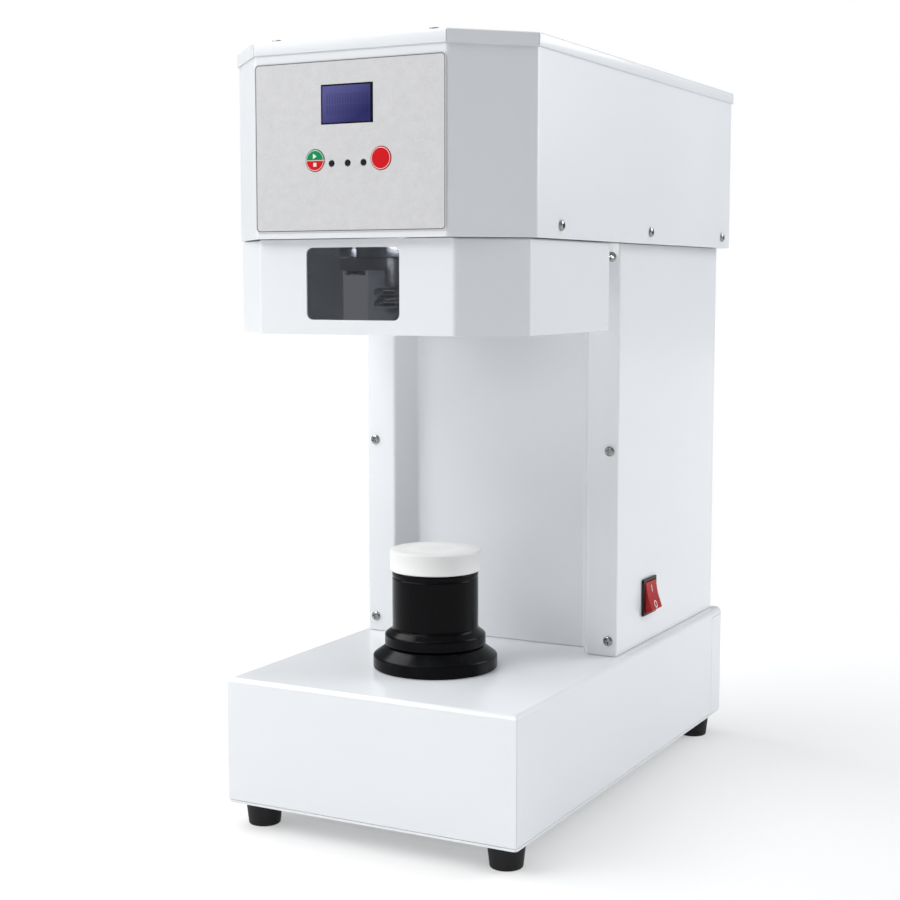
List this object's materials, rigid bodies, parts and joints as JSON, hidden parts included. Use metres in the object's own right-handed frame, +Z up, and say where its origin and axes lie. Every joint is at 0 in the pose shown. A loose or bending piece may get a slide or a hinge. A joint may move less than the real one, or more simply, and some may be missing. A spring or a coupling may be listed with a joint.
{
  "type": "can seaming machine",
  "caption": "Desktop electric can seamer: white folded-steel base, recessed column and overhanging head with window and control panel above a lifting round can stand.",
  "frame": {"origin": "centre of the bounding box at the level of the feet", "axes": "+Z up, -Y towards the front with the control panel, +X to the side with the power switch"},
  "size_m": [0.2564, 0.4732, 0.5999],
  "materials": {
    "white_paint": "smooth powder coat, semi gloss",
    "machined_steel": "machined",
    "polished_steel": "ground and polished",
    "black_rubber": "matte",
    "black_plastic": "fine moulded",
    "gloss_black": "gloss black, turned",
    "motor_paint": "black enamel",
    "white_plastic": "satin",
    "red_plastic": "translucent gloss",
    "green_plastic": "satin",
    "smoked_acrylic": "smoked, clear",
    "grey_overlay": "finely mottled film",
    "display_glass": "gloss",
    "circuit_board": "solder mask",
    "bronze": "bearing bronze"
  },
  "bodies": {
    "frame": {"base_cover": "white_paint", "base_plate": "white_paint", "base_rear_panel": "white_paint", "bearing_housing": "machined_steel", "cam_belt": "black_rubber", "centre_shaft": "polished_steel", "column_cover": "white_paint", "column_front_panel": "white_paint", "column_post_left": "machined_steel", "column_post_right": "machined_steel", "control_board": "circuit_board", "control_overlay": "grey_overlay", "display_board": "circuit_board", "display_module": "display_glass", "drive_motor": "motor_paint", "foot_front_left": "black_rubber", "foot_front_right": "black_rubber", "foot_rear_left": "black_rubber", "foot_rear_right": "black_rubber", "guide_bush": "bronze", "head_guard": "white_paint", "head_plate": "machined_steel", "lamp_left": "black_plastic", "lamp_middle": "black_plastic", "lamp_right": "black_plastic", "lid": "white_paint", "lift_belt": "black_rubber", "lift_frame": "machined_steel", "lift_motor": "motor_paint", "lower_bearing": "polished_steel", "power_inlet": "black_plastic", "power_supply": "machined_steel", "rocker_frame": "black_plastic", "rotor_belt": "black_rubber", "screw_bearing": "machined_steel", "seaming_chuck": "polished_steel", "shaft_bridge": "machined_steel", "stand_collar": "gloss_black", "upper_bearing": "polished_steel", "upper_casing": "white_paint", "window_pane": "smoked_acrylic"},
    "tray": {"tray_disc": "white_plastic", "stand_tube": "gloss_black", "lift_spindle": "polished_steel", "lift_nut": "bronze"},
    "screw": {"lead_screw": "polished_steel", "screw_pulley": "machined_steel"},
    "lift_motor_shaft": {"lift_motor_pulley": "machined_steel"},
    "rotor": {"rotor": "polished_steel", "rotor_pulley": "machined_steel"},
    "arm_1": {"seaming_arm_1": "machined_steel"},
    "arm_2": {"seaming_arm_2": "machined_steel"},
    "roller_1": {"seaming_roller_1": "polished_steel"},
    "roller_2": {"seaming_roller_2": "polished_steel"},
    "cam": {"cam_sleeve": "polished_steel"},
    "motor_shaft": {"motor_shaft": "polished_steel", "motor_pulley": "machined_steel"},
    "start_button": {"start_button": "green_plastic"},
    "emergency_button": {"emergency_button": "red_plastic"},
    "rocker": {"power_rocker": "red_plastic"}
  },
  "joints": [
    {"name": "tray_lift", "type": "slide", "parent": "frame", "child": "tray", "axis": [0, 0, 1], "range_m": [0, 0.025]},
    {"name": "screw_turn", "type": "hinge", "parent": "frame", "child": "screw", "pos_m": [0, -0.1064, 0.06], "axis": [0, 0, 1], "range_deg": [-1126, 0]},
    {"name": "lift_motor_turn", "type": "hinge", "parent": "frame", "child": "lift_motor_shaft", "pos_m": [0, -0.0314, 0.05], "axis": [0, 0, 1], "range_deg": [-2251, 0]},
    {"name": "rotor_turn", "type": "hinge", "parent": "frame", "child": "rotor", "pos_m": [0, -0.1064, 0.48], "axis": [0, 0, 1], "continuous": true},
    {"name": "cam_turn", "type": "hinge", "parent": "rotor", "child": "cam", "pos_m": [0, -0.1064, 0.5], "axis": [0, 0, 1], "range_deg": [0, 12]},
    {"name": "motor_turn", "type": "hinge", "parent": "frame", "child": "motor_shaft", "pos_m": [0, 0.1136, 0.5], "axis": [0, 0, 1], "continuous": true},
    {"name": "arm_1_swing", "type": "hinge", "parent": "rotor", "child": "arm_1", "pos_m": [-0.05474, -0.13551, 0.4389], "axis": [0, 0, 1], "range_deg": [0, 6]},
    {"name": "arm_2_swing", "type": "hinge", "parent": "rotor", "child": "arm_2", "pos_m": [0.05474, -0.07729, 0.4389], "axis": [0, 0, 1], "range_deg": [0, 6]},
    {"name": "roller_1_spin", "type": "hinge", "parent": "arm_1", "child": "roller_1", "pos_m": [-0.00998, -0.15335, 0.413], "axis": [0, 0, 1], "continuous": true},
    {"name": "roller_2_spin", "type": "hinge", "parent": "arm_2", "child": "roller_2", "pos_m": [0.00998, -0.05945, 0.413], "axis": [0, 0, 1], "continuous": true},
    {"name": "start_press", "type": "slide", "parent": "frame", "child": "start_button", "axis": [0, 1, 0], "range_m": [0, 0.001], "stiffness_N_per_m": 400},
    {"name": "emergency_press", "type": "slide", "parent": "frame", "child": "emergency_button", "axis": [0, 1, 0], "range_m": [0, 0.001], "stiffness_N_per_m": 400},
    {"name": "power_rock", "type": "hinge", "parent": "frame", "child": "rocker", "pos_m": [0.1187, 0.0592, 0.1589], "axis": [0, 1, 0], "range_deg": [0, 30]}
  ],
  "couplings": [
    {"joint": "screw_turn", "follows": "tray_lift", "rad_per_m": -785.4},
    {"joint": "lift_motor_turn", "follows": "tray_lift", "rad_per_m": -1570.8},
    {"joint": "motor_turn", "follows": "rotor_turn", "ratio": 3}
  ]
}
